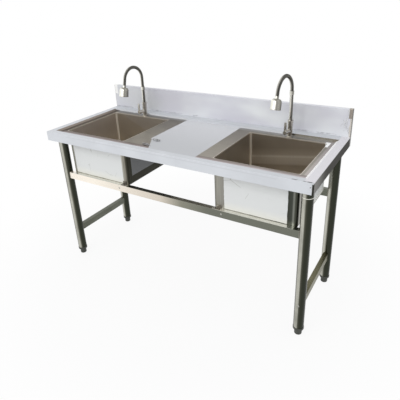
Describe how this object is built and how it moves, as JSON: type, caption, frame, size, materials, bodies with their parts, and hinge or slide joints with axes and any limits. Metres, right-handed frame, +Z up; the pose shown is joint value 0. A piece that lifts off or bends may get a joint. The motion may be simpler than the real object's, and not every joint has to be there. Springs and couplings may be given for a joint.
{
  "type": "commercial sink table",
  "caption": "Stainless steel double bowl sink table on round legs, with a raised splash and gooseneck spray taps",
  "frame": {"origin": "on the floor, in the middle of the footprint of the whole table", "axes": "+Z up, +X to the right along the table, front towards -Y, splash towards +Y"},
  "size_m": [1.5, 0.6, 1.1408],
  "materials": {
    "filmed_sheet": "satin sheet under pale protective film",
    "sheet_steel": "brushed",
    "bowl_steel": "brushed",
    "tube_steel": "polished tube",
    "fastener_steel": "bright",
    "tap_metal": "polished",
    "neck_steel": "ribbed, satin",
    "cartridge_brass": "turned",
    "foot_plastic": "moulded",
    "spray_plastic": "moulded",
    "rubber": "matt"
  },
  "bodies": {
    "frame": {"top_panel": "filmed_sheet", "backsplash": "filmed_sheet", "splash_cap_left": "sheet_steel", "splash_cap_right": "sheet_steel", "deck_stiffeners": "sheet_steel", "bowl_left": "bowl_steel", "bowl_right": "bowl_steel", "bowl_clips": "sheet_steel", "front_beam": "tube_steel", "rear_beam": "tube_steel", "side_beam_left": "tube_steel", "side_beam_right": "tube_steel", "frame_screws": "fastener_steel", "tailpiece_nuts": "tap_metal", "tap_lock_nuts": "fastener_steel", "leg_socket_front_left": "sheet_steel", "leg_front_left": "tube_steel", "foot_collar_front_left": "foot_plastic", "leg_socket_front_right": "sheet_steel", "leg_front_right": "tube_steel", "foot_collar_front_right": "foot_plastic", "leg_socket_rear_left": "sheet_steel", "leg_rear_left": "tube_steel", "foot_collar_rear_left": "foot_plastic", "leg_socket_rear_right": "sheet_steel", "leg_rear_right": "tube_steel", "foot_collar_rear_right": "foot_plastic", "strainer_body_left": "bowl_steel", "strainer_washer_left": "rubber", "strainer_nut_left": "tap_metal", "tailpiece_left": "tap_metal", "tap_base_ring_left": "tap_metal", "tap_body_left": "tap_metal", "tap_cartridge_left": "cartridge_brass", "strainer_body_right": "bowl_steel", "strainer_washer_right": "rubber", "strainer_nut_right": "tap_metal", "tailpiece_right": "tap_metal", "tap_base_ring_right": "tap_metal", "tap_body_right": "tap_metal", "tap_cartridge_right": "cartridge_brass"},
    "foot_front_left": {"foot_front_left": "foot_plastic"},
    "foot_front_right": {"foot_front_right": "foot_plastic"},
    "foot_rear_left": {"foot_rear_left": "foot_plastic"},
    "foot_rear_right": {"foot_rear_right": "foot_plastic"},
    "spout_left": {"tap_column_left": "tap_metal", "tap_neck_left": "neck_steel", "neck_fittings_left": "tap_metal"},
    "spray_left": {"spray_head_left": "tap_metal", "spray_plate_left": "spray_plastic"},
    "lever_left": {"tap_lever_left": "tap_metal"},
    "basket_left": {"strainer_basket_left": "bowl_steel"},
    "spout_right": {"tap_column_right": "tap_metal", "tap_neck_right": "neck_steel", "neck_fittings_right": "tap_metal"},
    "spray_right": {"spray_head_right": "tap_metal", "spray_plate_right": "spray_plastic"},
    "lever_right": {"tap_lever_right": "tap_metal"},
    "basket_right": {"strainer_basket_right": "bowl_steel"}
  },
  "joints": [
    {"name": "foot_front_left_height", "type": "slide", "parent": "frame", "child": "foot_front_left", "axis": [0, 0, -1], "range_m": [0, 0.025]},
    {"name": "foot_front_right_height", "type": "slide", "parent": "frame", "child": "foot_front_right", "axis": [0, 0, -1], "range_m": [0, 0.025]},
    {"name": "foot_rear_left_height", "type": "slide", "parent": "frame", "child": "foot_rear_left", "axis": [0, 0, -1], "range_m": [0, 0.025]},
    {"name": "foot_rear_right_height", "type": "slide", "parent": "frame", "child": "foot_rear_right", "axis": [0, 0, -1], "range_m": [0, 0.025]},
    {"name": "spout_left_swing", "type": "hinge", "parent": "frame", "child": "spout_left", "pos_m": [-0.451, 0.2009, 0.9005], "axis": [0, 0, 1], "range_deg": [-100, 110]},
    {"name": "spray_left_turn", "type": "hinge", "parent": "spout_left", "child": "spray_left", "pos_m": [-0.4636, 0.0569, 1.02797], "axis": [-0.0196, -0.2241, -0.9744], "continuous": true},
    {"name": "lever_left_turn", "type": "hinge", "parent": "frame", "child": "lever_left", "pos_m": [-0.46238, 0.1612, 0.8455], "axis": [0.2756, 0.9613, 0], "range_deg": [0, 90]},
    {"name": "basket_left_lift", "type": "slide", "parent": "frame", "child": "basket_left", "axis": [0, 0, 1], "range_m": [0, 0.12]},
    {"name": "spout_right_swing", "type": "hinge", "parent": "frame", "child": "spout_right", "pos_m": [0.471, 0.2009, 0.9005], "axis": [0, 0, 1], "range_deg": [-100, 110]},
    {"name": "spray_right_turn", "type": "hinge", "parent": "spout_right", "child": "spray_right", "pos_m": [0.45725, 0.04368, 1.05548], "axis": [-0.0196, -0.2241, -0.9744], "continuous": true},
    {"name": "lever_right_turn", "type": "hinge", "parent": "frame", "child": "lever_right", "pos_m": [0.46101, 0.16083, 0.8455], "axis": [0.2419, 0.9703, 0], "range_deg": [0, 90]},
    {"name": "basket_right_lift", "type": "slide", "parent": "frame", "child": "basket_right", "axis": [0, 0, 1], "range_m": [0, 0.12]}
  ]
}
